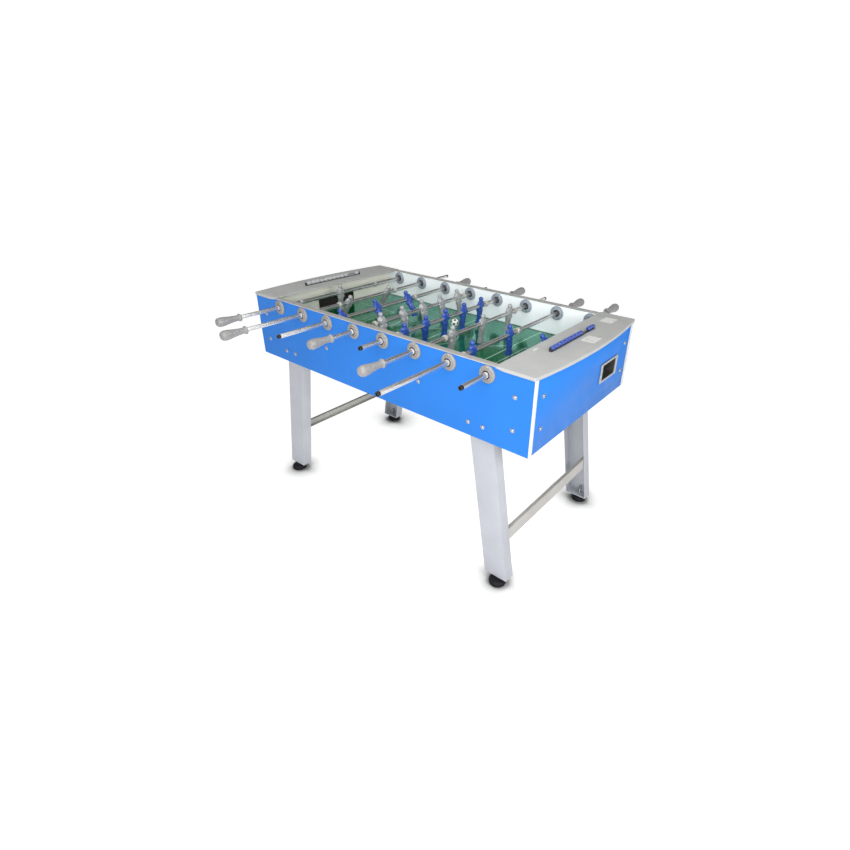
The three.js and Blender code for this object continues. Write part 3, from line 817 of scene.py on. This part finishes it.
def man_parts(bm):
    """The figure's overlapping closed parts, facing -X, with the rod's axis along Y through the
    origin."""
    head = bmesh.ops.create_uvsphere(bm, u_segments=20, v_segments=14, radius=1)["verts"]
    for v in head:
        v.co = Vector((v.co.x * 0.0100 - 0.0008, v.co.y * 0.0096, v.co.z * 0.0098 + 0.0290))
    # neck, then trunk
    loft(bm, [(0.0150, 0.0066, 0.0060, 0, 0), (0.0240, 0.0058, 0.0056, 0, 0)])
    loft(bm, [(-0.0220, 0.0130, 0.0096, 0, 0), (-0.0100, 0.0124, 0.0102, 0, 0),
              (0.0010, 0.0122, 0.0110, 0, 0), (0.0090, 0.0140, 0.0108, 0, 0),
              (0.0155, 0.0158, 0.0094, 0, 0), (0.0195, 0.0146, 0.0074, 0, 0),
              (0.0218, 0.0092, 0.0056, 0, 0)])
    for side in (-1, 1):        # an arm and a leg
        loft(bm, [(-0.0225, 0.0028, 0.0036, -0.0050, side * 0.0144),
                  (-0.0175, 0.0038, 0.0044, -0.0046, side * 0.0148),
                  (-0.0060, 0.0038, 0.0044, -0.0022, side * 0.0154),
                  (0.0030, 0.0042, 0.0048, 0.0004, side * 0.0156),
                  (0.0115, 0.0048, 0.0056, 0.0006, side * 0.0148),
                  (0.0170, 0.0046, 0.0054, 0.0004, side * 0.0132),
                  (0.0200, 0.0028, 0.0032, 0.0, side * 0.0116)], power=2)
        loft(bm, [(-0.0610, 0.0056, 0.0074, -0.0002, side * 0.0060),
                  (-0.0540, 0.0055, 0.0068, 0.0004, side * 0.0060),
                  (-0.0450, 0.0066, 0.0086, 0.0012, side * 0.0064),
                  (-0.0360, 0.0062, 0.0078, -0.0002, side * 0.0065),
                  (-0.0250, 0.0070, 0.0092, 0.0, side * 0.0066),
                  (-0.0140, 0.0070, 0.0098, 0.0, side * 0.0066)], power=2.1)
    # the block of both feet
    loft(bm, [(-0.0790, 0.0122, 0.0114, -0.0008, 0), (-0.0735, 0.0124, 0.0114, -0.0010, 0),
              (-0.0680, 0.0118, 0.0098, -0.0004, 0), (-0.0600, 0.0112, 0.0080, -0.0002, 0),
              (-0.0540, 0.0098, 0.0064, 0.0, 0)], power=4.5)
    hub = bmesh.new()
    lathe(hub, rounded([(0, -0.0165), (HUB_R, -0.0165), (HUB_R, 0.0165), (0, 0.0165)], 0.0012, 3),
          sides=28)
    absorb(bm, hub)


def man_mesh():
    """The figure as one moulding: its parts joined, softened and thinned, with the bore cut."""
    bm = bmesh.new()
    man_parts(bm)
    bmesh.ops.recalc_face_normals(bm, faces=bm.faces)
    mesh = bpy.data.meshes.new("man")
    bm.to_mesh(mesh)
    bm.free()
    obj = new_object("man", mesh)
    join = obj.modifiers.new("join", "REMESH")
    join.mode = "VOXEL"
    join.voxel_size = 0.0010
    soften = obj.modifiers.new("soften", "SMOOTH")
    soften.factor = 0.5
    soften.iterations = 3
    thin = obj.modifiers.new("thin", "DECIMATE")
    thin.ratio = 0.22
    bore_mesh = bpy.data.meshes.new("bore")
    bm = bmesh.new()
    lathe(bm, [(0, -0.03), (ROD_R + 0.0002, -0.03), (ROD_R + 0.0002, 0.03), (0, 0.03)], sides=32)
    bmesh.ops.recalc_face_normals(bm, faces=bm.faces)
    bm.to_mesh(bore_mesh)
    bm.free()
    bore = new_object("man_bore", bore_mesh)
    cut = obj.modifiers.new("cut", "BOOLEAN")
    cut.object = bore
    cut.operation = "DIFFERENCE"
    graph = bpy.context.evaluated_depsgraph_get()
    result = bpy.data.meshes.new_from_object(obj.evaluated_get(graph), depsgraph=graph)
    bpy.data.objects.remove(obj)
    bpy.data.objects.remove(bore)
    result.materials.clear()
    return result


def row_place(number):
    """Where the middle of a row stands at rest, leaning and facing as its team does."""
    team, _, _, _, lean = ROWS[number - 1]
    low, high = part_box(f"players_{number}")
    place = Matrix.Translation((rod_x(number), (low.y + high.y) / 2, ROD_Z))
    facing = about_z(math.pi if team == "grey" else 0)
    return place @ Matrix.Rotation(math.radians(lean), 4, "Y") @ facing


def players(number, figure):
    team, count, spacing, _, _ = ROWS[number - 1]
    for i in range(count):
        offset = (i - (count - 1) / 2) * spacing
        place = row_place(number) @ Matrix.Translation((0, offset, 0))
        obj = new_object(f"player_{number}_{i + 1}", figure[team])
        on_body(obj, f"rod_{number}", (f"players_{number}",), place)


def figures():
    """One shared figure for each team."""
    base = man_mesh()
    made = {}
    for team in ("grey", "blue"):
        mesh = base.copy()
        mesh.materials.append(PAINT[f"{team}_man"])
        mesh.shade_smooth()
        mesh.set_sharp_from_angle(angle=math.radians(60))
        made[team] = mesh
    return made


# ---------------------------------------------------------------- rods

def grip_flute(turn, height):
    """Eight soft flutes that fade out towards the collar and the tip."""
    along = min(max((height - 0.028) / 0.020, 0), 1) * min(max((0.094 - height) / 0.012, 0), 1)
    return 1 - 0.035 * along * (0.5 - 0.5 * math.cos(8 * turn))


GRIP_PROFILE = [
    (0, 0.0005), (0.0085, 0.0005), (0.0140, 0.0003), (0.0154, 0.0022), (0.0154, 0.0050),
    (0.0140, 0.0072), (0.0118, 0.0096), (0.0112, 0.0150), (0.0116, 0.0240), (0.0128, 0.0360),
    (0.0144, 0.0480), (0.0162, 0.0600), (0.0176, 0.0700), (0.0183, 0.0790), (0.0181, 0.0860),
    (0.0166, 0.0925), (0.0138, 0.0968), (0.0095, 0.0989), (0.0045, 0.0996), (0, 0.0998),
]


def rod(number):
    """Tube, end cap, stops and handle of one rod, drawn about the row's middle with the handle
    at +Y."""
    team, count, _, to_stop, _ = ROWS[number - 1]
    body, place = f"rod_{number}", row_place(number)
    middle = place.translation.y
    low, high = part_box(f"rod_{number}")
    grip_low, grip_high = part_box(f"handle_{number}")
    if team == "grey":
        bare, tip = high.y - middle, middle - grip_low.y
    else:
        bare, tip = middle - low.y, grip_high.y - middle
    grip_start = tip - GRIP_LENGTH

    tube_low, tube_high = -bare + 0.0100, grip_start + 0.055
    hollow, depth = 0.0064, 0.020
    tube = bmesh.new()
    lathe(tube, rounded([(0, tube_low + depth), (hollow, tube_low + depth), (hollow, tube_low),
                         (ROD_R, tube_low), (ROD_R, tube_high), (0, tube_high)], 0.0004, 2),
          sides=32)
    piece(f"rod_tube_{number}", tube, "chrome", body, (f"rod_{number}",), place=place)

    outer, eye, cap_end = ROD_R - 0.0001, 0.0042, tube_low - 0.0002
    cap = ring([(eye, -bare), (outer, -bare), (outer, cap_end), (eye, cap_end)], 0.0008, 3, 32)
    piece(f"rod_cap_{number}", cap, "nylon", body, place=place)

    inner, half = ROD_R + 0.0001, STOP_LENGTH / 2
    for name, at in (("a", -to_stop), ("b", to_stop)):
        stop = ring([(inner, at - half), (STOP_R - 0.0012, at - half), (STOP_R, at - half + 0.002),
                     (STOP_R, at - 0.0012), (STOP_R - 0.0008, at), (STOP_R, at + 0.0012),
                     (STOP_R, at + half - 0.002), (STOP_R - 0.0012, at + half),
                     (inner, at + half)], 0.0008, 2, 36)
        paint = "grey_bumper" if count == 1 else "bumper"
        piece(f"stop_{number}_{name}", stop, paint, body, place=place)

    grip = bmesh.new()
    lathe(grip, GRIP_PROFILE, sides=48, flute=grip_flute)
    moved(grip, (0, grip_start, 0))
    bore = bmesh.new()
    lathe(bore, [(0, grip_start - 0.01), (ROD_R + 0.0002, grip_start - 0.01),
                 (ROD_R + 0.0002, grip_start + 0.056), (0, grip_start + 0.056)], sides=32)
    piece(f"grip_{number}", cut_with(grip, bore), "grip", body,
          (f"handle_{number}",), sharp=55, place=place)


def bushes(number):
    """The near and far bushes, which turn with the rod while it slides through them: a dark ring
    in the housing and the pale sleeve inside it, which stands out a little."""
    bore, neck, outer = ROD_R + 0.0003, ROD_R + 0.0019, HOUSING_BORE - 0.0004
    y0, y1 = -0.3742, -0.3387
    dark = [(neck + 0.0001, y0), (outer - 0.0008, y0), (outer, y0 + 0.0010), (outer, y1 - 0.0010),
            (outer - 0.0008, y1), (neck + 0.0001, y1)]
    y0, y1 = -0.3795, -0.3420
    sleeve = [(bore, y0), (neck - 0.0006, y0), (neck, y0 + 0.0010), (neck, y1 - 0.0010),
              (neck - 0.0006, y1), (bore, y1)]
    for side, angle in (("near", 0), ("far", math.pi)):
        place = Matrix.Translation((rod_x(number), 0, ROD_Z)) @ about_z(angle)
        for name, profile, paint in (("bush_ring", dark, "nylon"), ("bush_sleeve", sleeve, "sleeve")):
            bm = ring(profile, 0.0005, 2, 36)
            stands_for = (f"bush_{number}",) if side == "near" else ()
            piece(f"{name}_{side}_{number}", bm, paint, f"bush_{number}", stands_for,
                  place=place)


# ---------------------------------------------------------------- score counters

def bead(name, y, x, z, paint, body, stands_for=()):
    """One barrel-shaped bead with its low edge at y."""
    low, high, near = 0.0003, BEAD_PITCH - 0.0003, BEAD_R - 0.0003
    profile = [(0.0019, low), (0.0042, low), (0.0046, low + 0.0016), (near, low + 0.0040),
               (BEAD_R, BEAD_PITCH / 2), (near, high - 0.0040), (0.0046, high - 0.0016),
               (0.0042, high), (0.0019, high)]
    piece(name, ring(profile, 0.0012, 3, 32), paint, body, stands_for,
          place=Matrix.Translation((x, y, z)))


def counter(end, low_beads, high_beads, paint):
    """Base strip, end posts, wire and beads of one counter, on the middle of its CAD node."""
    low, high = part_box(f"score_counter_{end}")
    x = (low.x + high.x) / 2
    z = high.z - BEAD_R
    reach = high.y - 0.005
    wide, floor = 0.0062, low.z + 0.0008
    base = bmesh.new()
    corners = [(-wide, -high.y), (wide, -high.y), (wide, high.y), (-wide, high.y)]
    extrude_outline(base, ring_loop(corners, 0.003, 5), low.z, floor)
    for side in (-1, 1):
        add_box(base, (-0.0044, min(side * reach, side * high.y), floor),
                (0.0044, max(side * reach, side * high.y), z + 0.0044))
    piece(f"counter_base_{end}", base, "counter", "cabinet",
          (f"score_counter_{end}",), bevel=0.0006, place=Matrix.Translation((x, 0, 0)))
    wire = bmesh.new()
    lathe(wire, [(0, -reach - 0.0005), (0.0016, -reach - 0.0005), (0.0016, reach + 0.0005),
                 (0, reach + 0.0005)], sides=16)
    piece(f"counter_wire_{end}", wire, "steel", "cabinet",
          place=Matrix.Translation((x, 0, z)))
    for i in range(low_beads):
        bead(f"bead_{end}_{i + 1}", -reach + i * BEAD_PITCH, x, z, paint, "cabinet")
    for i in range(high_beads):
        y = reach - (high_beads - i) * BEAD_PITCH
        bead(f"bead_{end}_{low_beads + i + 1}", y, x, z, paint, f"score_beads_{end}",
             (f"score_beads_{end}",))


# ---------------------------------------------------------------- ball

def ball():
    """A small football: twelve dark five-sided panels between pale six-sided ones, with seams."""
    low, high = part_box("ball")
    centre = (low + high) / 2
    radius = (high.x - low.x) / 2
    bm = bmesh.new()
    bmesh.ops.create_icosphere(bm, subdivisions=1, radius=1)
    bmesh.ops.bevel(bm, geom=bm.verts[:] + bm.edges[:], offset=34, offset_type="PERCENT",
                    affect="VERTICES", segments=1)
    for face in bm.faces:
        face.material_index = 1 if len(face.verts) == 5 else 0
    bmesh.ops.inset_individual(bm, faces=bm.faces[:], thickness=0.02)
    bmesh.ops.triangulate(bm, faces=bm.faces[:])
    for _ in range(3):
        bmesh.ops.subdivide_edges(bm, edges=bm.edges[:], cuts=1, use_grid_fill=True)
    for v in bm.verts:
        v.co = v.co.normalized() * radius
    turned = Matrix.Rotation(0.5, 4, "X") @ Matrix.Rotation(0.35, 4, "Y")
    piece("football", bm, ("ball_white", "ball_black"), "ball", ("ball",), sharp=80,
          place=Matrix.Translation(centre) @ turned)


# ---------------------------------------------------------------- stage, light and camera

def stage():
    bm = bmesh.new()
    bmesh.ops.create_grid(bm, x_segments=4, y_segments=4, size=40)
    mesh = bpy.data.meshes.new("floor")
    bm.to_mesh(mesh)
    bm.free()
    mesh.materials.append(floor_paint())
    new_object("floor", mesh)


def area_light(name, spot, target, power, size):
    data = bpy.data.lights.new(name, "AREA")
    data.energy = power
    data.size = size
    light = new_object(name, data)
    light.location = spot
    light.rotation_euler = (Vector(target) - Vector(spot)).to_track_quat("-Z", "Y").to_euler()


def studio_world():
    """A white horizon, dimmer towards the front right, under a darker ceiling."""
    world = bpy.data.worlds.new("studio")
    world.use_nodes = True
    tree = world.node_tree
    direction = tree.nodes.new("ShaderNodeTexCoord")
    axes = tree.nodes.new("ShaderNodeSeparateXYZ")
    strength = tree.nodes.new("ShaderNodeMapRange")
    set_range(strength, 0.26, 0.38, 1.04, 0.05)
    ahead = tree.nodes.new("ShaderNodeVectorMath")
    ahead.operation = "DOT_PRODUCT"
    ahead.inputs[1].default_value = (-0.616, 0.788, 0)      # the way the camera looks
    level = tree.nodes.new("ShaderNodeMapRange")
    set_range(level, -0.1, 0.5, 0.6, 1.0)
    both = tree.nodes.new("ShaderNodeMath")
    both.operation = "MULTIPLY"
    tree.links.new(direction.outputs["Generated"], axes.inputs[0])
    tree.links.new(direction.outputs["Generated"], ahead.inputs[0])
    tree.links.new(axes.outputs["Z"], strength.inputs["Value"])
    tree.links.new(ahead.outputs["Value"], level.inputs["Value"])
    tree.links.new(strength.outputs["Result"], both.inputs[0])
    tree.links.new(level.outputs["Result"], both.inputs[1])
    tree.links.new(both.outputs[0], tree.nodes["Background"].inputs["Strength"])
    tree.nodes["Background"].inputs["Color"].default_value = (1.0, 1.0, 1.0, 1)
    bpy.context.scene.world = world


def lights():
    area_light("key", (1.15, -1.65, 1.45), (0.55, -0.3, 0.65), 34, 1.5)
    area_light("side", (2.3, -0.5, 1.7), (-0.1, 0.0, 0.75), 24, 0.8)
    area_light("top", (0.1, -0.7, 2.6), (0.0, 0.1, 0.8), 30, 1.6)


def camera():
    """The view from the near right-hand corner, a little above the table."""
    spot = (1.3358, -1.5595, 1.4604)
    focal_share = 516.65 / 850          # focal length over the picture's width
    shift = (0.5 - 455.16 / 850, 412.21 / 850 - 0.5)
    azimuth, elevation, roll = (math.radians(a) for a in (37.95, 27.72, 1.22))
    back = Vector((math.sin(azimuth) * math.cos(elevation),
                   -math.cos(azimuth) * math.cos(elevation), math.sin(elevation)))
    right = Vector((math.cos(azimuth), math.sin(azimuth), 0))
    up = back.cross(right)
    tilted_right = right * math.cos(roll) + up * math.sin(roll)
    tilted_up = up * math.cos(roll) - right * math.sin(roll)
    data = bpy.data.cameras.new("camera")
    data.sensor_width = 36
    data.lens = 36 * focal_share
    data.shift_x, data.shift_y = shift
    eye = new_object("camera", data)
    turned = Matrix((tilted_right, tilted_up, back)).transposed().to_4x4()
    eye.matrix_world = Matrix.Translation(spot) @ turned
    bpy.context.scene.camera = eye


camera()
cabinet()
stand()
team_figures = figures()
for row_number in NUMBERS:
    rod(row_number)
    bushes(row_number)
    players(row_number, team_figures)
counter("right", 9, 2, "blue_bead")
counter("left", 10, 1, "grey_bead")
ball()
stage()
studio_world()
lights()
bpy.context.scene.view_settings.view_transform = "Standard"
